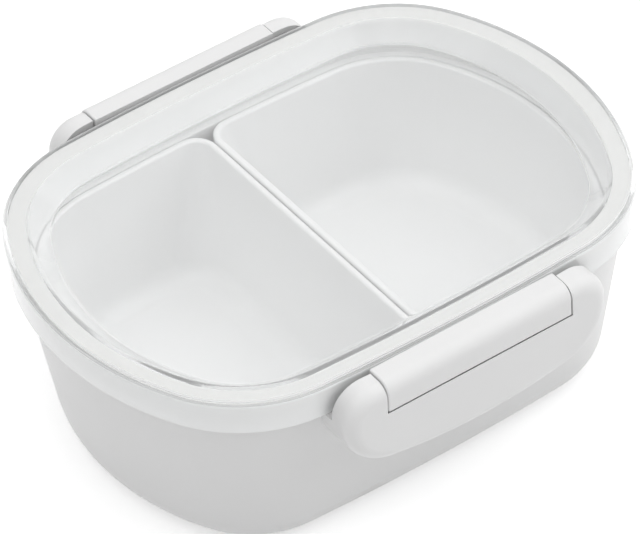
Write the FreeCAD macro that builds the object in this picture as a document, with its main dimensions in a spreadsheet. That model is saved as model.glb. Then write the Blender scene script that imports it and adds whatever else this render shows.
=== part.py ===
"""Oval lunch box with a clear lid, two side latches and two lift-out trays.

The box stands on Z = 0 with its centre on the Z axis. Its length runs along X,
and the latches hang on the two long sides, at +Y and -Y. Sizes are millimetres.
"""
import FreeCAD
import Part
import Sketcher

import math
import os

from FreeCAD import Vector

# Driving dimensions: alias, value in millimetres or degrees, what it is
SIZES = [
    ("half_length", 86.5, "centre of the box to the end of the lid"),
    ("half_width", 63.5, "centre of the box to the long side of the lid"),
    ("side_radius", 800, "bow of the lid's long sides"),
    ("end_radius", 87, "bow of the lid's ends"),
    ("corner_radius", 40, "corners of the lid"),
    ("clearance", 0.4, "gap between pieces that move past each other"),
    ("edge_rounding", 0.5, "small moulded edges"),

    ("base_height", 59.6, "table to the rim of the base"),
    ("base_wall", 2.0, "wall of the base"),
    ("base_floor", 2.0, "floor of the base"),
    ("base_draft", 8.5, "lean of the base wall"),
    ("base_edge_radius", 10, "rounding under the base"),
    ("foot_height", 4.5, "hollow under the floor of the base"),
    ("foot_width", 1.5, "flat ring that the base stands on"),
    ("skirt_floor_gap", 1.0, "edge of the lid skirt to the housing under it"),

    ("housing_corner", 17, "lower corners of the latch housing"),
    ("housing_side", 1.1, "straight side of the housing between its corners"),
    ("housing_bow", 150, "bow of the housing's lower edge"),
    ("housing_edge", 4.0, "front edge of the housing and shoulder of the latch"),
    ("ear_width", 12.4, "ear of the housing at each end of a latch"),
    ("ear_drop", 0.6, "top of the latch down to the top of the ears"),
    ("ear_corner", 9, "upper corners of the ears"),
    ("ear_gap", 2.0, "lid out to the ears"),

    ("latch_half_span", 30.2, "centre to the end of a latch"),
    ("latch_standoff", 8.8, "lid out to the face of the latch"),
    ("latch_drop", 0.5, "ridge of the lid down to the top of the latch"),
    ("latch_wall", 2.2, "wall of the latch"),
    ("latch_tail", 2.85, "pivot down to the lower edge of the latch"),
    ("pivot_setback", 3.0, "face of the latch in to its pivot"),
    ("pivot_drop", 6.2, "top of the latch down to its pivot"),
    ("trunnion_radius", 1.5, "pivot studs of the latch"),
    ("trunnion_length", 3.2, "pivot stud beyond the end of the latch"),
    ("trunnion_fit", 0.06, "radial play of a stud in its socket"),
    ("barrel_wall", 0.7, "latch barrel round the line of the pivot"),
    ("lip_gap", 0.6, "lid out to the upper edge of the latch lip"),
    ("nose_gap", 0.5, "lid out to the nose of the hook"),
    ("nose_drop", 1.4, "top of the latch down to the nose of the hook"),
    ("hook_thickness", 2.3, "hook of the latch"),

    ("lid_wall", 1.5, "wall of the lid"),
    ("skirt_height", 9.5, "outer ledge of the lid down to the edge of its skirt"),
    ("ledge_width", 1.3, "lid face in to the ridge"),
    ("ridge_height", 0.6, "ridge above the outer ledge"),
    ("ridge_width", 5.9, "top of the ridge"),
    ("window_drop", 5.0, "ridge down to the window"),
    ("window_slope", 49.7, "lean of the slope round the window"),
    ("ledge_rounding", 1.2, "outer edge of the lid"),
    ("ridge_rounding", 2.0, "inner edge of the ridge"),
    ("window_rounding", 1.5, "foot of the slope round the window"),
    ("catch_end_gap", 4.2, "end of a latch in to the end of its catch"),
    ("catch_reach", 2.1, "catch out from the lid"),
    ("catch_height", 1.8, "thickness of the catch"),
    ("catch_drop", 3.3, "outer ledge of the lid down to the catch"),

    ("gasket_height", 1.5, "thickness of the gasket"),
    ("gasket_fit", 0.1, "gasket to the walls of its channel"),

    ("tray_drop", 10.6, "rim of the base down to the rims of the trays"),
    ("tray_gap", 2.6, "wall of the base in to the rim of a tray"),
    ("step_gap", 0.7, "rim of a tray out to the step in the base wall"),
    ("step_drop", 0.6, "rims of the trays down to the step in the base wall"),
    ("tray_wall", 1.3, "wall of a tray"),
    ("tray_floor", 1.8, "floor of a tray"),
    ("tray_edge_radius", 8.0, "rounding under a tray"),
    ("tray_inner_corner", 7, "corners beside the divide at the rim of a tray"),
    ("tray_floor_corner", 13, "corners beside the divide at the floor of a tray"),
    ("tray_rim_reach", 0.6, "rim beyond the wall of a tray"),
    ("tray_rim_height", 2.2, "depth of the tray rim"),
    ("tray_rim_rounding", 0.8, "upper edges of the tray rim"),
    ("divide", 1.2, "centre of the box to the gap between the trays"),
    ("divide_gap", 0.6, "gap between the rims of the two trays"),
]

doc = FreeCAD.newDocument("lunch_box")
sheet = doc.addObject("Spreadsheet::Sheet", "Sizes")
for row, (alias, value, meaning) in enumerate(SIZES, start=1):
    sheet.set(f"A{row}", meaning)
    sheet.set(f"B{row}", str(value))
    sheet.setAlias(f"B{row}", alias)
doc.recompute()


def formula(text):
    """Formula in which every [alias] reads the sheet, in brackets of its own."""
    return "(" + text.replace("[", "Sizes.").replace("]", "") + ")"


def number(expression):
    """Present value of a formula."""
    return float(sheet.evalExpression(expression.replace("Sizes.", "")))


# Heights above the table
RIM = formula("[base_height]")
CEILING = formula(f"{RIM} + [clearance] + [gasket_height]")
RIDGE_TOP = formula(f"{CEILING} + [lid_wall]")
LEDGE_TOP = formula(f"{RIDGE_TOP} - [ridge_height]")
SKIRT_BOTTOM = formula(f"{LEDGE_TOP} - [skirt_height]")
SKIRT_FLOOR = formula(f"{SKIRT_BOTTOM} - [skirt_floor_gap]")
WINDOW_TOP = formula(f"{RIDGE_TOP} - [window_drop]")
WINDOW_UNDER = formula(f"{WINDOW_TOP} - [lid_wall]")
CATCH_TOP = formula(f"{LEDGE_TOP} - [catch_drop]")
LATCH_TOP = formula(f"{RIDGE_TOP} - [latch_drop]")
PIVOT_Z = formula(f"{LATCH_TOP} - [pivot_drop]")
FLOOR_TOP = formula("[foot_height] + [base_floor]")
TRAY_BOTTOM = formula(f"{FLOOR_TOP} + [clearance]")
TRAY_FLOOR_TOP = formula(f"{TRAY_BOTTOM} + [tray_floor]")
TRAY_TOP = formula(f"{RIM} - [tray_drop]")
STEP_TOP = formula(f"{TRAY_TOP} - [step_drop]")

# Distances in from the face of the lid
RIM_INSET = formula("[lid_wall] + [clearance]")
BOTTOM_INSET = formula(f"{RIM_INSET} + {RIM} * tan([base_draft])")
RIDGE_INSET = formula("[ledge_width] + [ridge_width]")
BOWL_INSET = formula(f"{RIDGE_INSET} + [lid_wall] * (tan([window_slope]) - 1 / cos([window_slope]))")
TRAY_INSET = formula(f"{RIM_INSET} + [base_wall] + [tray_drop] * tan([base_draft]) + [tray_gap]")
STEP_INSET = formula(f"{TRAY_INSET} - [step_gap]")

# Distances out from the centre of the box
LATCH_FACE = formula("[half_width] + [latch_standoff]")
PIVOT_Y = formula(f"{LATCH_FACE} - [pivot_setback]")
SWING_RADIUS = formula("sqrt([pivot_setback]^2 + [latch_tail]^2) + [clearance]")
ROOM_HALF_SPAN = formula("[latch_half_span] + [clearance]")
STUD_HALF_SPAN = formula("[latch_half_span] + [trunnion_length]")
SKIRT_MIDDLE = formula("[half_width] - [lid_wall] / 2")

# Centres of the arcs at the ends and on the sides of the lid's outline, seen from above
END_CENTRE = formula("[half_length] - [end_radius]")
SIDE_CENTRE = formula("[half_width] - [side_radius]")


# Bodies and sketches
def new_body(label):
    body = doc.addObject("PartDesign::Body", label)
    body.Label = label
    return body


def origin_plane(body, role):
    return next(item for item in body.Origin.OriginFeatures if item.Role == role)


def new_sketch(body, name, role="XY_Plane", height=None):
    """Sketch on one of the body's own planes, at a height along its normal."""
    sketch = body.newObject("Sketcher::SketchObject", name)
    sketch.AttachmentSupport = [(origin_plane(body, role), "")]
    sketch.MapMode = "FlatFace"
    if height:
        sketch.setExpression("AttachmentOffset.Base.z", height)
    return sketch


def dimension(sketch, kind, geometry, expression):
    """Add a constraint whose value follows the sheet."""
    index = sketch.addConstraint(Sketcher.Constraint(kind, *geometry, number(expression)))
    sketch.setExpression(f"Constraints[{index}]", expression)


def place_point(sketch, item, point, x=None, y=None):
    """Fix a point of a sketch item at distances from the sketch origin."""
    if x:
        dimension(sketch, "DistanceX", (-1, 1, item, point), x)
    if y:
        dimension(sketch, "DistanceY", (-1, 1, item, point), y)


def add_line(sketch, start, finish):
    return sketch.addGeometry(Part.LineSegment(start, finish), False)


def add_arc(sketch, centre, first, second):
    """Arc of under half a circle round a centre, between two points."""
    start = math.atan2(first.y - centre.y, first.x - centre.x)
    finish = math.atan2(second.y - centre.y, second.x - centre.x)
    sweep = (finish - start) % (2 * math.pi)
    if sweep > math.pi:
        start = finish
        sweep = 2 * math.pi - sweep
    circle = Part.Circle(centre, Vector(0, 0, 1), centre.distanceToPoint(first))
    return sketch.addGeometry(Part.ArcOfCircle(circle, start, start + sweep), False)


def join_smoothly(sketch, items):
    """Join the items of a closed loop so that neighbours meet at a tangent."""
    ends = [(a, b) for a in (1, 2) for b in (1, 2)]
    for position, item in enumerate(items):
        before = items[position - 1]
        near = min(ends, key=lambda pair: sketch.getPoint(before, pair[0]).distanceToPoint(
            sketch.getPoint(item, pair[1])))
        sketch.addConstraint(Sketcher.Constraint("Tangent", before, near[0], item, near[1]))


def toward(start, target, distance):
    """Point at a distance from start, in the direction of target."""
    step = target - start
    return start + step * (distance / step.Length)


class OvalArcs:
    """Arcs of the lid's outline, or of one parallel to it. An inset changes the radii alone."""

    def __init__(self, inset):
        self.radius = {arc: formula(f"[{arc}_radius] - {inset}") for arc in ("end", "side", "corner")}
        self.end_radius = number(self.radius["end"])
        self.side_radius = number(self.radius["side"])
        self.corner_radius = number(self.radius["corner"])
        end_x = number(END_CENTRE)
        side_y = number(SIDE_CENTRE)
        self.end = {sign: Vector(sign * end_x, 0, 0) for sign in (1, -1)}
        self.side = {sign: Vector(0, sign * side_y, 0) for sign in (1, -1)}
        self.corner = {(x, y): self.corner_centre(x, y) for x in (1, -1) for y in (1, -1)}

    def corner_centre(self, x_sign, y_sign):
        """Centre of the corner arc that touches an end arc and a side arc."""
        end, side = self.end[x_sign], self.side[y_sign]
        from_end = self.end_radius - self.corner_radius
        from_side = self.side_radius - self.corner_radius
        line = side - end
        along = (from_end ** 2 - from_side ** 2 + line.Length ** 2) / (2 * line.Length)
        middle = toward(end, side, along)
        across = Vector(-line.y, line.x, 0) * (math.sqrt(from_end ** 2 - along ** 2) / line.Length)
        return max(middle + across, middle - across, key=lambda p: p.x * x_sign + p.y * y_sign)

    def end_joint(self, x_sign, y_sign):
        return toward(self.end[x_sign], self.corner[x_sign, y_sign], self.end_radius)

    def side_joint(self, x_sign, y_sign):
        return toward(self.side[y_sign], self.corner[x_sign, y_sign], self.side_radius)

    def draw_end(self, sketch, x_sign):
        return add_arc(sketch, self.end[x_sign], self.end_joint(x_sign, -1), self.end_joint(x_sign, 1))

    def draw_corner(self, sketch, x_sign, y_sign):
        return add_arc(sketch, self.corner[x_sign, y_sign],
                       self.end_joint(x_sign, y_sign), self.side_joint(x_sign, y_sign))

    def fix_end(self, sketch, arc, x_sign):
        """Tie an end arc to the sheet: centre on the X axis, and radius."""
        sketch.addConstraint(Sketcher.Constraint("PointOnObject", arc, 3, -1))
        place_point(sketch, arc, 3, x=f"{x_sign} * {END_CENTRE}")
        dimension(sketch, "Radius", (arc,), self.radius["end"])

    def fix_side(self, sketch, arc, y_sign):
        """Tie a side arc to the sheet: centre on the Y axis, and radius."""
        sketch.addConstraint(Sketcher.Constraint("PointOnObject", arc, 3, -2))
        place_point(sketch, arc, 3, y=f"{y_sign} * {SIDE_CENTRE}")
        dimension(sketch, "Radius", (arc,), self.radius["side"])

    def fix_corner(self, sketch, arc):
        dimension(sketch, "Radius", (arc,), self.radius["corner"])


def draw_oval(sketch, inset):
    """Draw the outline of the lid, or one parallel to it, as eight arcs."""
    arcs = OvalArcs(inset)
    ends = {sign: arcs.draw_end(sketch, sign) for sign in (1, -1)}
    corners = {place: arcs.draw_corner(sketch, *place) for place in arcs.corner}
    sides = {sign: add_arc(sketch, arcs.side[sign], arcs.side_joint(1, sign), arcs.side_joint(-1, sign))
             for sign in (1, -1)}
    join_smoothly(sketch, [ends[1], corners[1, 1], sides[1], corners[-1, 1],
                           ends[-1], corners[-1, -1], sides[-1], corners[1, -1]])
    for sign in (1, -1):
        arcs.fix_end(sketch, ends[sign], sign)
        arcs.fix_side(sketch, sides[sign], sign)
    for corner in corners.values():
        arcs.fix_corner(sketch, corner)


def oval_sketch(body, name, height, *insets):
    """Sketch of one or more outlines parallel to the lid's, at a height."""
    sketch = new_sketch(body, name, height=height)
    for inset in insets:
        draw_oval(sketch, inset)
    return sketch


def draw_tray(sketch, side, corner, inset):
    """Draw the outline of the tray on one side of the divide: -1 is left, 1 is right."""
    arcs = OvalArcs(formula(f"{TRAY_INSET} + {inset}"))
    wall_formula = formula(f"{side} * ([divide_gap] / 2 + {inset}) - [divide]")
    wall_x = number(wall_formula)
    radius = number(corner)
    inner_x = wall_x + side * radius
    wall_end = {}
    chains = {}
    for sign in (1, -1):
        rise = math.sqrt((arcs.side_radius - radius) ** 2 - inner_x ** 2)
        inner = Vector(inner_x, arcs.side[sign].y + sign * rise, 0)
        joint = toward(arcs.side[sign], inner, arcs.side_radius)
        wall_end[sign] = Vector(wall_x, inner.y, 0)
        inner_arc = add_arc(sketch, inner, wall_end[sign], joint)
        side_arc = add_arc(sketch, arcs.side[sign], joint, arcs.side_joint(side, sign))
        corner_arc = arcs.draw_corner(sketch, side, sign)
        chains[sign] = [inner_arc, side_arc, corner_arc]
    wall = add_line(sketch, wall_end[-1], wall_end[1])
    end = arcs.draw_end(sketch, side)
    join_smoothly(sketch, [wall] + chains[1] + [end] + chains[-1][::-1])
    sketch.addConstraint(Sketcher.Constraint("Vertical", wall))
    place_point(sketch, wall, 1, x=wall_formula)
    arcs.fix_end(sketch, end, side)
    for sign, (inner_arc, side_arc, corner_arc) in chains.items():
        dimension(sketch, "Radius", (inner_arc,), corner)
        arcs.fix_side(sketch, side_arc, sign)
        arcs.fix_corner(sketch, corner_arc)


def polygon_sketch(body, name, points):
    """Section across the box: a polygon whose corners are (Y, Z) formulas."""
    sketch = new_sketch(body, name, "YZ_Plane")
    corners = [Vector(number(y), number(z), 0) for y, z in points]
    lines = [add_line(sketch, corner, corners[(position + 1) % len(corners)])
             for position, corner in enumerate(corners)]
    for position, line in enumerate(lines):
        sketch.addConstraint(Sketcher.Constraint("Coincident", lines[position - 1], 2, line, 1))
    for line, (y, z) in zip(lines, points):
        place_point(sketch, line, 1, x=y, y=z)
    return sketch


def pivot_circle(body, name, radius):
    """Circle round the pivot of the rear latch, in a section across the box."""
    sketch = new_sketch(body, name, "YZ_Plane")
    centre = Vector(number(PIVOT_Y), number(PIVOT_Z), 0)
    circle = sketch.addGeometry(Part.Circle(centre, Vector(0, 0, 1), number(radius)), False)
    place_point(sketch, circle, 3, x=PIVOT_Y, y=PIVOT_Z)
    dimension(sketch, "Radius", (circle,), radius)
    return sketch


# Features
def sweep(body, kind, name, sketch, length, back=False, both_ways=False, taper=None):
    """Pad or Pocket over a length that follows the sheet."""
    volume = body.Tip.Shape.Volume if body.Tip else 0.0
    feature = body.newObject(f"PartDesign::{kind}", name)
    feature.Profile = sketch
    feature.setExpression("Length", length)
    feature.Reversed = back
    feature.Midplane = both_ways
    if taper:
        feature.setExpression("TaperAngle", taper)
    doc.recompute()
    grown = feature.Shape.Volume - volume
    if (grown > 0) != (kind == "Pad"):
        raise RuntimeError(f"{name} of {body.Label} changes the volume by {grown:.1f}")
    return feature


def pad(body, name, sketch, length, **options):
    return sweep(body, "Pad", name, sketch, length, **options)


def pocket(body, name, sketch, length, **options):
    return sweep(body, "Pocket", name, sketch, length, **options)


def loft(body, name, upper, lower):
    """Straight-sided loft between two outlines."""
    feature = body.newObject("PartDesign::AdditiveLoft", name)
    feature.Profile = upper
    feature.Sections = [lower]
    feature.Ruled = True
    doc.recompute()
    return feature


def cut_away(body, name, tool):
    """Cut another body out of this one."""
    feature = body.newObject("PartDesign::Boolean", name)
    feature.Type = "Cut"
    feature.setObjects([tool])
    doc.recompute()
    return feature


def flat_face(body, height, upward):
    """Largest flat face of a body at a height, looking up or down."""
    level = number(height)

    def matches(face):
        if not isinstance(face.Surface, Part.Plane):
            return False
        facing = face.normalAt(0, 0).z
        return abs(face.CenterOfMass.z - level) < 1e-3 and abs(facing) > 0.999 and (facing > 0) == upward

    return max(filter(matches, body.Tip.Shape.Faces), key=lambda face: face.Area)


def round_edges(body, name, edges, radius):
    """Fillet a list of edges of the body's last feature."""
    base = body.Tip
    names = [f"Edge{place}" for place, edge in enumerate(base.Shape.Edges, start=1)
             if any(edge.isSame(other) for other in edges)]
    feature = body.newObject("PartDesign::Fillet", name)
    feature.Base = (base, names)
    feature.setExpression("Radius", radius)
    doc.recompute()
    if feature.Shape.isNull() or not feature.isValid():
        raise RuntimeError(f"{name} of {body.Label} cannot round {len(names)} edges by {number(radius):.2f}")
    return feature


def inner_edges(face):
    """Edges of the holes in a face."""
    outer = face.OuterWire
    return [edge for wire in face.Wires if not wire.isSame(outer) for edge in wire.Edges]


def mirror_to_front(body, name, originals):
    """Repeat features of the rear long side on the front one."""
    feature = body.newObject("PartDesign::Mirrored", name)
    feature.Originals = originals
    feature.MirrorPlane = (origin_plane(body, "XZ_Plane"), [""])
    body.Tip = feature
    doc.recompute()
    return feature


# Base
def housing_sketch(body):
    """Outline of the latch housings, seen from the long side, with a bowed lower edge."""
    sketch = new_sketch(body, "housing_outline", "XZ_Plane")
    half_span = formula(f"{ROOM_HALF_SPAN} + [ear_width]")
    top = formula(f"{LATCH_TOP} - [ear_drop]")
    side_bottom = formula(f"{top} - [ear_corner] - [housing_side]")
    low_radius = formula("[housing_corner]")
    high_radius = formula("[ear_corner]")
    bow_radius = formula("[housing_bow]")
    reach = number(half_span)
    high = number(top)
    low_size = number(low_radius)
    high_size = number(high_radius)
    bow_size = number(bow_radius)
    low_x = reach - low_size
    low_y = number(side_bottom)
    bow_centre = Vector(0, low_y + math.sqrt((bow_size - low_size) ** 2 - low_x ** 2), 0)

    lines = {}
    arcs = {}
    bow_ends = {}
    for sign in (1, -1):
        side_low = Vector(sign * reach, low_y, 0)
        side_high = Vector(sign * reach, high - high_size, 0)
        low_centre = Vector(sign * low_x, low_y, 0)
        roof_end = Vector(sign * (reach - high_size), high, 0)
        bow_ends[sign] = toward(bow_centre, low_centre, bow_size)
        lines[sign] = add_line(sketch, side_low, side_high)
        low_arc = add_arc(sketch, low_centre, bow_ends[sign], side_low)
        high_arc = add_arc(sketch, Vector(roof_end.x, side_high.y, 0), side_high, roof_end)
        arcs[sign] = (low_arc, high_arc)
        dimension(sketch, "Radius", (low_arc,), low_radius)
        dimension(sketch, "Radius", (high_arc,), high_radius)
        sketch.addConstraint(Sketcher.Constraint("Vertical", lines[sign]))
        place_point(sketch, lines[sign], 1, x=f"{sign} * {half_span}")
    bow = add_arc(sketch, bow_centre, bow_ends[-1], bow_ends[1])
    roof = add_line(sketch, Vector(high_size - reach, high, 0), Vector(reach - high_size, high, 0))
    join_smoothly(sketch, [bow, arcs[1][0], lines[1], arcs[1][1],
                           roof, arcs[-1][1], lines[-1], arcs[-1][0]])
    sketch.addConstraint(Sketcher.Constraint("Horizontal", roof))
    place_point(sketch, roof, 1, y=top)
    place_point(sketch, lines[1], 1, y=side_bottom)
    sketch.addConstraint(Sketcher.Constraint("PointOnObject", bow, 3, -2))
    dimension(sketch, "Radius", (bow,), bow_radius)
    return sketch


def make_housings(body):
    """Rounded block through the box that becomes a housing with two ears on each long side."""
    pad(body, "housings", housing_sketch(body), f"2 * {LATCH_FACE}", both_ways=True)
    reach = number(LATCH_FACE)
    fronts = [face for face in body.Tip.Shape.Faces if abs(abs(face.CenterOfMass.y) - reach) < 1e-3]
    edges = [edge for face in fronts for edge in face.OuterWire.Edges]
    round_edges(body, "housing_fronts", edges, formula("[housing_edge]"))
    lid_room = oval_sketch(body, "lid_room_outline", SKIRT_FLOOR, formula("-[ear_gap]"))
    pocket(body, "lid_room", lid_room, f"{RIDGE_TOP} - {SKIRT_FLOOR}", back=True)


def make_latch_rooms(body):
    """Room for each latch between its ears, with a socket for each pivot stud."""
    floor = formula(f"{PIVOT_Z} - {SWING_RADIUS}")
    beyond = formula(f"{PIVOT_Y} + {SWING_RADIUS}")
    above = formula(f"{LATCH_TOP} + {SWING_RADIUS}")
    width = f"2 * {ROOM_HALF_SPAN}"
    section = polygon_sketch(body, "latch_room_section", [
        (SKIRT_MIDDLE, floor), (PIVOT_Y, floor), (PIVOT_Y, PIVOT_Z),
        (beyond, PIVOT_Z), (beyond, above), (SKIRT_MIDDLE, above)])
    room = pocket(body, "latch_room", section, width, both_ways=True)
    swing_section = pivot_circle(body, "latch_swing_section", SWING_RADIUS)
    swing = pocket(body, "latch_swing", swing_section, width, both_ways=True)
    hole = pivot_circle(body, "socket_section", formula("[trunnion_radius] + [trunnion_fit]"))
    depth = formula(f"2 * ({STUD_HALF_SPAN} + [clearance])")
    sockets = pocket(body, "sockets", hole, depth, both_ways=True)
    mirror_to_front(body, "front_latch_room", [room, swing, sockets])


def make_base(label):
    """Tapered box on a foot ring, with a step round its inside and a latch housing on each long side."""
    body = new_body(label)
    make_housings(body)
    draft = formula("-[base_draft]")
    outline = oval_sketch(body, "rim_outline", RIM, RIM_INSET)
    pad(body, "box", outline, RIM, back=True, taper=draft)
    underside = flat_face(body, formula("0"), upward=False)
    round_edges(body, "box_edge", underside.OuterWire.Edges, formula("[base_edge_radius]"))
    opening = oval_sketch(body, "cavity_outline", RIM, formula(f"{RIM_INSET} + [base_wall]"))
    pocket(body, "cavity_top", opening, f"{RIM} - {STEP_TOP}", taper=draft)
    step_edge = oval_sketch(body, "step_outline", STEP_TOP, STEP_INSET)
    pocket(body, "cavity", step_edge, f"{STEP_TOP} - {FLOOR_TOP}", taper=draft)
    step = flat_face(body, STEP_TOP, upward=True)
    round_edges(body, "step_edge", inner_edges(step), formula("[edge_rounding]"))
    floor = flat_face(body, FLOOR_TOP, upward=True)
    round_edges(body, "cavity_edge", floor.OuterWire.Edges, formula("[base_edge_radius] - [base_wall]"))
    round_edges(body, "rim_edges", flat_face(body, RIM, upward=True).Edges, formula("[edge_rounding]"))
    foot_inset = formula(f"{BOTTOM_INSET} + [base_edge_radius] + [foot_width]")
    foot = oval_sketch(body, "foot_outline", None, foot_inset)
    pocket(body, "foot", foot, formula("[foot_height]"), back=True)
    make_latch_rooms(body)
    return body


# Lid and gasket
def make_lid(label):
    """Clear lid: skirt, ledge, raised ridge, a slope down to a window, and two catches."""
    body = new_body(label)
    slope = formula("-[window_slope]")
    block = oval_sketch(body, "skirt_outline", SKIRT_BOTTOM, formula("0"))
    pad(body, "skirt", block, formula("[skirt_height]"))
    ledge = flat_face(body, LEDGE_TOP, upward=True)
    round_edges(body, "ledge_edge", ledge.OuterWire.Edges, formula("[ledge_rounding]"))
    ridge = oval_sketch(body, "ridge_outline", LEDGE_TOP, formula("[ledge_width]"))
    pad(body, "ridge", ridge, formula("[ridge_height]"))
    inside = oval_sketch(body, "inside_outline", SKIRT_BOTTOM, formula("[lid_wall]"))
    pocket(body, "inside", inside, f"{CEILING} - {SKIRT_BOTTOM}", back=True)
    bowl = oval_sketch(body, "bowl_outline", CEILING, BOWL_INSET)
    pad(body, "bowl", bowl, f"{CEILING} - {WINDOW_UNDER}", back=True, taper=slope)
    recess = oval_sketch(body, "recess_outline", RIDGE_TOP, RIDGE_INSET)
    pocket(body, "recess", recess, formula("[window_drop]"), taper=slope)
    window = flat_face(body, WINDOW_TOP, upward=True)
    round_edges(body, "window_edge", window.OuterWire.Edges, formula("[window_rounding]"))
    crest = flat_face(body, RIDGE_TOP, upward=True)
    round_edges(body, "ridge_inside", inner_edges(crest), formula("[ridge_rounding]"))
    crest = flat_face(body, RIDGE_TOP, upward=True)
    round_edges(body, "ridge_outside", crest.OuterWire.Edges, formula("[edge_rounding]"))

    catch_edge = formula("[half_width] + [catch_reach]")
    catch_low = formula(f"{CATCH_TOP} - [catch_height]")
    section = polygon_sketch(body, "catch_section", [
        (SKIRT_MIDDLE, catch_low), (catch_edge, catch_low),
        (catch_edge, CATCH_TOP), (SKIRT_MIDDLE, CATCH_TOP)])
    width = formula("2 * ([latch_half_span] - [catch_end_gap])")
    catch = pad(body, "catch", section, width, both_ways=True)
    mirror_to_front(body, "front_catch", [catch])
    return body


def make_gasket(label):
    """Silicone ring in the channel under the ridge of the lid."""
    body = new_body(label)
    outer = formula("[lid_wall] + [gasket_fit]")
    inner = formula(f"{BOWL_INSET} - [gasket_fit]")
    ring = oval_sketch(body, "gasket_outline", CEILING, outer, inner)
    pad(body, "gasket_ring", ring, formula("[gasket_height]"), back=True)
    underside = flat_face(body, formula(f"{CEILING} - [gasket_height]"), upward=False)
    round_edges(body, "gasket_edges", underside.Edges, formula("[edge_rounding]"))
    return body


# Trays
def tray_outline(body, name, height, side, corner, inset):
    sketch = new_sketch(body, name, height=height)
    draw_tray(sketch, side, corner, inset)
    return sketch


def make_tub(label, side, bottom, wall):
    """Tub that leans as the base does: a tray's outside, or its inside one wall further in."""
    body = new_body(label)
    inset = formula(f"[tray_rim_reach] + {wall}")
    lean = formula(f"({TRAY_TOP} - {bottom}) * tan([base_draft])")
    upper = tray_outline(body, f"{label}_top", TRAY_TOP, side, formula(f"[tray_inner_corner] - {inset}"),
                         inset)
    lower = tray_outline(body, f"{label}_bottom", bottom, side, formula(f"[tray_floor_corner] - {wall}"),
                         formula(f"{inset} + {lean}"))
    loft(body, f"{label}_tub", upper, lower)
    underside = flat_face(body, bottom, upward=False)
    round_edges(body, f"{label}_edge", underside.OuterWire.Edges, formula(f"[tray_edge_radius] - {wall}"))
    return body


def make_tray(label, side):
    """Lift-out tray with a rolled rim, leaning walls and a rounded floor."""
    cavity = make_tub(f"{label}_cavity", side, TRAY_FLOOR_TOP, formula("[tray_wall]"))
    body = make_tub(label, side, TRAY_BOTTOM, formula("0"))
    rim = tray_outline(body, f"{label}_rim_outline", TRAY_TOP, side, formula("[tray_inner_corner]"),
                       formula("0"))
    pad(body, f"{label}_rim", rim, formula("[tray_rim_height]"), back=True)
    cut_away(body, f"{label}_hollow", cavity)
    crest = flat_face(body, TRAY_TOP, upward=True)
    round_edges(body, f"{label}_rim_edges", crest.Edges, formula("[tray_rim_rounding]"))
    return body


# Latches
def make_latch(label, turn):
    """Moulded latch with a hooked lip and two pivot studs, drawn on the rear side."""
    body = new_body(label)
    tail = formula(f"{PIVOT_Z} - [latch_tail]")
    back = formula(f"{LATCH_FACE} - [latch_wall]")
    under = formula(f"{LATCH_TOP} - [latch_wall]")
    hook_low = formula(f"{CATCH_TOP} + [clearance]")
    nose = formula("[half_width] + [nose_gap]")
    hook_back = formula(f"{nose} + [hook_thickness]")
    section = polygon_sketch(body, "latch_section", [
        (LATCH_FACE, tail), (LATCH_FACE, LATCH_TOP),
        (formula("[half_width] + [lip_gap]"), LATCH_TOP), (nose, formula(f"{LATCH_TOP} - [nose_drop]")),
        (nose, hook_low), (hook_back, hook_low), (hook_back, under),
        (back, under), (back, tail)])
    span = formula("2 * [latch_half_span]")
    pad(body, "latch_shell", section, span, both_ways=True)

    def long_edges(y, z):
        """Edges along the latch through a point of its section."""
        point = Part.Vertex(0, number(y), number(z))
        return [edge for edge in body.Tip.Shape.Edges if edge.distToShape(point)[0] < 1e-3]

    round_edges(body, "shoulder", long_edges(LATCH_FACE, LATCH_TOP), formula("[housing_edge]"))
    round_edges(body, "inner_shoulder", long_edges(back, under), formula("[housing_edge] - [latch_wall]"))

    end = number(formula("[latch_half_span]"))
    ends = [face for face in body.Tip.Shape.Faces if abs(abs(face.CenterOfMass.x) - end) < 1e-3]
    shown = [edge for face in ends for edge in face.Edges
             if edge.CenterOfMass.y > number(back) + 1e-3 and edge.CenterOfMass.z > number(tail) + 1e-3
             or edge.CenterOfMass.z > number(LATCH_TOP) - 1e-3]
    round_edges(body, "latch_ends", shown, formula("[edge_rounding]"))
    barrel = pivot_circle(body, "barrel_section", formula("[trunnion_radius] + [barrel_wall]"))
    pad(body, "barrel", barrel, span, both_ways=True)
    stud = pivot_circle(body, "trunnion_section", formula("[trunnion_radius]"))
    pad(body, "trunnions", stud, f"2 * {STUD_HALF_SPAN}", both_ways=True)
    body.Placement = FreeCAD.Placement(Vector(0, 0, 0), FreeCAD.Rotation(Vector(0, 0, 1), turn))
    return body


PARTS = [
    make_base("base_box"),
    make_lid("lid"),
    make_gasket("lid_gasket"),
    make_tray("left_tray", -1),
    make_tray("right_tray", 1),
    make_latch("rear_latch", 0),
    make_latch("front_latch", 180),
]

doc.recompute()
for item in doc.Objects:
    if "Invalid" in item.State or "Error" in item.State:
        raise RuntimeError(f"{item.Label} failed: {item.State}")
for part in PARTS:
    shape = part.Shape
    if shape.isNull() or not shape.isValid() or len(shape.Solids) != 1:
        raise RuntimeError(f"{part.Label} is not one valid solid")

os.makedirs("parts", exist_ok=True)
for part in PARTS:
    part.Shape.exportStep(os.path.join("parts", f"{part.Label}.step"))
    box = part.Shape.BoundBox
    print(f"{part.Label}: {part.Shape.Volume:.0f} mm3, "
          f"{box.XLength:.1f} x {box.YLength:.1f} x {box.ZLength:.1f} mm")
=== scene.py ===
"""White plastic lunch box with a clear lid, on a white studio floor."""

import math

import bpy
from mathutils import Matrix, Vector

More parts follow.
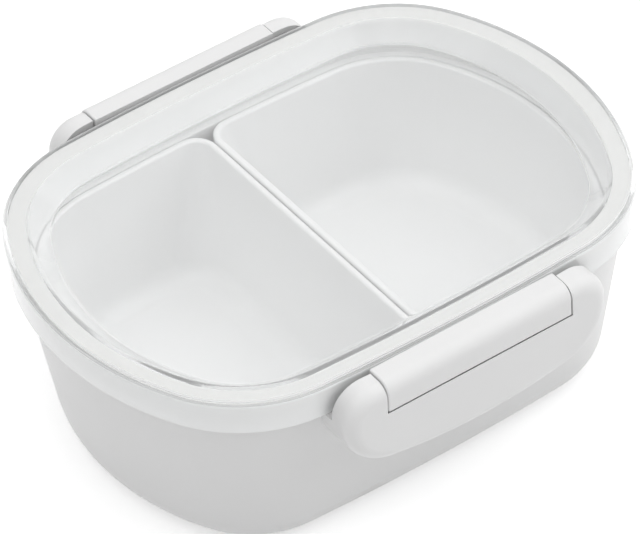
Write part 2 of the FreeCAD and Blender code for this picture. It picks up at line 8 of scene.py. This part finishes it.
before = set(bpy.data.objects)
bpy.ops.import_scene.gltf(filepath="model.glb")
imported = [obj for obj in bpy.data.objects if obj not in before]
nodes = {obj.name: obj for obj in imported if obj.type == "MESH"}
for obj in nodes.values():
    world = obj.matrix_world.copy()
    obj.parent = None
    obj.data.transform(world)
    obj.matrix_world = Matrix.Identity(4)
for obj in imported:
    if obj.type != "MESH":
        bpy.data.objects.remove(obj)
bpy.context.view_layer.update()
scene = bpy.context.scene

# The photograph and the camera that took it
IMAGE_WIDTH = 640
IMAGE_HEIGHT = 534
FOCAL_PIXELS = 5000
CENTRE_COLUMN = 323.8
CENTRE_ROW = 269.2
SENSOR_WIDTH = 36
CAMERA_AZIMUTH = math.radians(-33.69)
CAMERA_ELEVATION = math.radians(42.12)
CAMERA_ROLL = math.radians(-3.22)
CAMERA_DISTANCE = 1.3737
CAMERA_TARGET = Vector((0, 0, 0.0353))
NEAREST_SEEN = 0.05
FARTHEST_SEEN = 50

# Colours, as linear values
BASE_WHITE = (0.81, 0.81, 0.81)
LATCH_WHITE = (0.81, 0.81, 0.81)
TRAY_WHITE = (0.86, 0.86, 0.86)
GASKET_WHITE = (0.80, 0.80, 0.79)
CLEAR = (0.97, 0.98, 0.98)
FLOOR_WHITE = (0.80, 0.80, 0.80)
FULL_WHITE = (1.0, 1.0, 1.0)

# The part of a noise's values that is put to use
NOISE_LOW = 0.3
NOISE_HIGH = 0.7

# Moulded plastic: noise scales in features per metre, depths in metres
FLOW_SCALE = 22.0
FLOW_DARKEST = 0.985
FLOW_LIGHTEST = 1.01
GLOSS_SCALE = 90.0
GLOSS_LOW = 0.9
GLOSS_HIGH = 1.15
GRAIN_SCALE = 2600.0
GRAIN_DETAIL = 2.0
GRAIN_DEPTH = 0.0002
PLASTIC_IOR = 1.49
GLOW_TINT = (1.0, 0.97, 0.93)
GLOW_DEPTH = 0.0015

# Clear plastic of the lid, in the same units. The stops are pairs of steepness and value.
LID_IOR = 1.12
LID_COAT_IOR = 1.58
LID_COAT_ROUGHNESS = 0.06
LID_CLEARNESS_STOPS = [(0.5, 0.2), (0.68, 0.7), (0.86, 0.7), (0.97, 0.94)]
LID_LIGHT_STOPS = [(0.2, 0.6), (0.45, 1.0)]
LID_GLOSS_SCALE = 60.0
LID_ROUGHNESS_LOW = 0.04
LID_ROUGHNESS_HIGH = 0.08
LID_WAVE_SCALE = 40.0
LID_WAVE_DETAIL = 1.0
LID_WAVE_STRENGTH = 0.02
LID_WAVE_DEPTH = 0.0005

# Studio, in metres and watts
FLOOR_HALF = 6.0
FLOOR_HEIGHT = -0.0003
FLOOR_LIFT = 0.45
AMBIENT = 0.41
LIGHT_AIM = (0.0, 0.0, 0.04)


def place_camera():
    """Camera at the photograph's viewpoint, with the small shift of its frame."""
    data = bpy.data.cameras.new("photo_camera")
    data.sensor_fit = "HORIZONTAL"
    data.sensor_width = SENSOR_WIDTH
    data.lens = FOCAL_PIXELS * SENSOR_WIDTH / IMAGE_WIDTH
    data.shift_x = (IMAGE_WIDTH / 2 - CENTRE_COLUMN) / IMAGE_WIDTH
    data.shift_y = (CENTRE_ROW - IMAGE_HEIGHT / 2) / IMAGE_WIDTH
    data.clip_start = NEAREST_SEEN
    data.clip_end = FARTHEST_SEEN
    camera = bpy.data.objects.new("photo_camera", data)
    scene.collection.objects.link(camera)
    turn = Matrix.Rotation(CAMERA_AZIMUTH, 4, "Z")
    tilt = Matrix.Rotation(math.pi / 2 - CAMERA_ELEVATION, 4, "X")
    roll = Matrix.Rotation(CAMERA_ROLL, 4, "Z")
    facing = turn @ tilt @ roll
    place = CAMERA_TARGET + facing.to_3x3() @ Vector((0, 0, CAMERA_DISTANCE))
    camera.matrix_world = Matrix.Translation(place) @ facing
    scene.camera = camera


# Node helpers
def new_material(name):
    """Empty node material with its output node."""
    material = bpy.data.materials.new(name)
    material.use_nodes = True
    material.node_tree.nodes.clear()
    output = material.node_tree.nodes.new("ShaderNodeOutputMaterial")
    return material, material.node_tree, output


def set_sockets(node, values):
    """Set constant values on a node's own sockets, by name."""
    for name, value in values.items():
        node.inputs[name].default_value = value


def opaque(colour, factor=1.0):
    """A colour made lighter or darker, with full alpha."""
    return tuple(channel * factor for channel in colour) + (1.0,)


def object_noise(tree, scale, detail=3.0):
    """Noise in the object's own space, with a scale in features per metre."""
    place = tree.nodes.new("ShaderNodeTexCoord")
    noise = tree.nodes.new("ShaderNodeTexNoise")
    set_sockets(noise, {"Scale": scale, "Detail": detail})
    tree.links.new(place.outputs["Object"], noise.inputs["Vector"])
    return noise.outputs["Fac"]


def spread(tree, value, low, high):
    """Stretch the middle of a noise to a range of values."""
    node = tree.nodes.new("ShaderNodeMapRange")
    set_sockets(node, {"From Min": NOISE_LOW, "From Max": NOISE_HIGH, "To Min": low, "To Max": high})
    tree.links.new(value, node.inputs["Value"])
    return node.outputs["Result"]


def uneven_normal(tree, height, strength, depth):
    """Normal of a surface that a noise raises and lowers."""
    bump = tree.nodes.new("ShaderNodeBump")
    set_sockets(bump, {"Strength": strength, "Distance": depth})
    tree.links.new(height, bump.inputs["Height"])
    return bump.outputs["Normal"]


def by_steepness(tree, stops):
    """Value by how a face lies: steepness 0 is upright and 1 is level."""
    shape = tree.nodes.new("ShaderNodeNewGeometry")
    parts = tree.nodes.new("ShaderNodeSeparateXYZ")
    tree.links.new(shape.outputs["Normal"], parts.inputs["Vector"])
    size = tree.nodes.new("ShaderNodeMath")
    size.operation = "ABSOLUTE"
    tree.links.new(parts.outputs["Z"], size.inputs[0])
    ramp = tree.nodes.new("ShaderNodeValToRGB")
    elements = ramp.color_ramp.elements
    while len(elements) < len(stops):
        elements.new(1.0)
    for element, (place, value) in zip(elements, stops):
        element.position = place
        element.color = (value, value, value, 1.0)
    tree.links.new(size.outputs["Value"], ramp.inputs["Fac"])
    return ramp.outputs["Color"]


def either(tree, first, second):
    """The larger of two values."""
    node = tree.nodes.new("ShaderNodeMath")
    node.operation = "MAXIMUM"
    tree.links.new(first, node.inputs[0])
    tree.links.new(second, node.inputs[1])
    return node.outputs["Value"]


def seen_directly(tree):
    """1 for rays from the camera, a reflection or a clear piece, and 0 for light on the object."""
    path = tree.nodes.new("ShaderNodeLightPath")
    shown = either(tree, path.outputs["Is Camera Ray"], path.outputs["Is Glossy Ray"])
    return either(tree, shown, path.outputs["Is Transmission Ray"])


# Materials of the object
def moulded_plastic(name, colour, roughness, grain, glow):
    """Moulded plastic: faint flow marks in the colour, uneven gloss and a fine grain."""
    material, tree, output = new_material(name)
    shader = tree.nodes.new("ShaderNodeBsdfPrincipled")
    set_sockets(shader, {
        "IOR": PLASTIC_IOR,
        "Subsurface Weight": glow,
        "Subsurface Radius": GLOW_TINT,
        "Subsurface Scale": GLOW_DEPTH,
    })
    flow = tree.nodes.new("ShaderNodeMix")
    flow.data_type = "RGBA"
    flow.inputs["A"].default_value = opaque(colour, FLOW_DARKEST)
    flow.inputs["B"].default_value = opaque(colour, FLOW_LIGHTEST)
    tree.links.new(object_noise(tree, FLOW_SCALE), flow.inputs["Factor"])
    tree.links.new(flow.outputs["Result"], shader.inputs["Base Color"])
    gloss_noise = object_noise(tree, GLOSS_SCALE)
    gloss = spread(tree, gloss_noise, roughness * GLOSS_LOW, roughness * GLOSS_HIGH)
    tree.links.new(gloss, shader.inputs["Roughness"])
    grain_noise = object_noise(tree, GRAIN_SCALE, GRAIN_DETAIL)
    normal = uneven_normal(tree, grain_noise, grain, GRAIN_DEPTH)
    tree.links.new(normal, shader.inputs["Normal"])
    tree.links.new(shader.outputs["BSDF"], output.inputs["Surface"])
    return material


def let_light_through(tree, shader, output, tint):
    """Let the light that falls on a piece go on, in a tint, to what is behind it."""
    through = tree.nodes.new("ShaderNodeBsdfTransparent")
    tree.links.new(tint, through.inputs["Color"])
    path = tree.nodes.new("ShaderNodeLightPath")
    lights = either(tree, path.outputs["Is Shadow Ray"], path.outputs["Is Diffuse Ray"])
    mix = tree.nodes.new("ShaderNodeMixShader")
    tree.links.new(lights, mix.inputs["Fac"])
    tree.links.new(shader.outputs["BSDF"], mix.inputs[1])
    tree.links.new(through.outputs["BSDF"], mix.inputs[2])
    tree.links.new(mix.outputs["Shader"], output.inputs["Surface"])


def clear_plastic(name, colour):
    """Clear moulded plastic with a hazy skirt, that lets light through to what is under it."""
    material, tree, output = new_material(name)
    shader = tree.nodes.new("ShaderNodeBsdfPrincipled")
    set_sockets(shader, {
        "Base Color": opaque(colour),
        "IOR": LID_IOR,
        "Coat Weight": 1.0,
        "Coat IOR": LID_COAT_IOR,
        "Coat Roughness": LID_COAT_ROUGHNESS,
    })
    tree.links.new(by_steepness(tree, LID_CLEARNESS_STOPS), shader.inputs["Transmission Weight"])
    gloss = spread(tree, object_noise(tree, LID_GLOSS_SCALE), LID_ROUGHNESS_LOW, LID_ROUGHNESS_HIGH)
    tree.links.new(gloss, shader.inputs["Roughness"])
    waves = object_noise(tree, LID_WAVE_SCALE, LID_WAVE_DETAIL)
    normal = uneven_normal(tree, waves, LID_WAVE_STRENGTH, LID_WAVE_DEPTH)
    tree.links.new(normal, shader.inputs["Normal"])
    let_light_through(tree, shader, output, by_steepness(tree, LID_LIGHT_STOPS))
    return material


def dress(material, *node_names):
    """Give CAD nodes a material in all their slots."""
    for node_name in node_names:
        for slot in nodes[node_name].material_slots:
            slot.material = material


# Studio
def studio_white():
    """Matt white that is lifted a little where it is seen."""
    material, tree, output = new_material("studio_white")
    matt = tree.nodes.new("ShaderNodeBsdfDiffuse")
    matt.inputs["Color"].default_value = opaque(FLOOR_WHITE)
    lift = tree.nodes.new("ShaderNodeMath")
    lift.operation = "MULTIPLY"
    lift.inputs[1].default_value = FLOOR_LIFT
    tree.links.new(seen_directly(tree), lift.inputs[0])
    glow = tree.nodes.new("ShaderNodeEmission")
    tree.links.new(lift.outputs["Value"], glow.inputs["Strength"])
    both = tree.nodes.new("ShaderNodeAddShader")
    tree.links.new(matt.outputs["BSDF"], both.inputs[0])
    tree.links.new(glow.outputs["Emission"], both.inputs[1])
    tree.links.new(both.outputs["Shader"], output.inputs["Surface"])
    return material


def make_floor():
    """White floor that keeps the object's shadow."""
    mesh = bpy.data.meshes.new("studio_floor")
    sides = [(-1, -1), (1, -1), (1, 1), (-1, 1)]
    corners = [(x * FLOOR_HALF, y * FLOOR_HALF, FLOOR_HEIGHT) for x, y in sides]
    mesh.from_pydata(corners, [], [(0, 1, 2, 3)])
    mesh.materials.append(studio_white())
    floor = bpy.data.objects.new("studio_floor", mesh)
    scene.collection.objects.link(floor)


def make_world():
    """Soft white surroundings: full white where they are seen, lower where they light the object."""
    world = bpy.data.worlds.new("studio_world")
    scene.world = world
    world.use_nodes = True
    tree = world.node_tree
    background = tree.nodes["Background"]
    background.inputs["Color"].default_value = opaque(FULL_WHITE)
    level = tree.nodes.new("ShaderNodeMapRange")
    set_sockets(level, {"To Min": AMBIENT, "To Max": 1.0})
    tree.links.new(seen_directly(tree), level.inputs["Value"])
    tree.links.new(level.outputs["Result"], background.inputs["Strength"])


def add_softbox(name, place, size, power):
    """Square area lamp that points at the object and isn't seen in reflections."""
    data = bpy.data.lights.new(name, "AREA")
    data.shape = "SQUARE"
    data.size = size
    data.energy = power
    lamp = bpy.data.objects.new(name, data)
    lamp.location = place
    lamp.rotation_euler = (Vector(place) - Vector(LIGHT_AIM)).to_track_quat("Z", "Y").to_euler()
    lamp.visible_glossy = False
    scene.collection.objects.link(lamp)


def make_lights():
    """Large soft lamps to the left, to the right and above."""
    add_softbox("left_light", (-0.8, -0.2, 1.2), size=1.4, power=5.4)
    add_softbox("right_light", (0.9, -0.65, 0.95), size=1.4, power=8.8)
    add_softbox("top_light", (0.15, 0.25, 1.4), size=1.6, power=7.0)


base_plastic = moulded_plastic("base_plastic", BASE_WHITE, roughness=0.34, grain=0.05, glow=0.1)
latch_plastic = moulded_plastic("latch_plastic", LATCH_WHITE, roughness=0.32, grain=0.05, glow=0.1)
tray_plastic = moulded_plastic("tray_plastic", TRAY_WHITE, roughness=0.36, grain=0.05, glow=0.15)
gasket_silicone = moulded_plastic("gasket_silicone", GASKET_WHITE, roughness=0.6, grain=0.12, glow=0.2)
lid_plastic = clear_plastic("lid_plastic", CLEAR)

dress(base_plastic, "base_box")
dress(latch_plastic, "front_latch", "rear_latch")
dress(tray_plastic, "left_tray", "right_tray")
dress(gasket_silicone, "lid_gasket")
dress(lid_plastic, "lid")

place_camera()
make_floor()
make_world()
make_lights()
scene.view_settings.view_transform = "Standard"
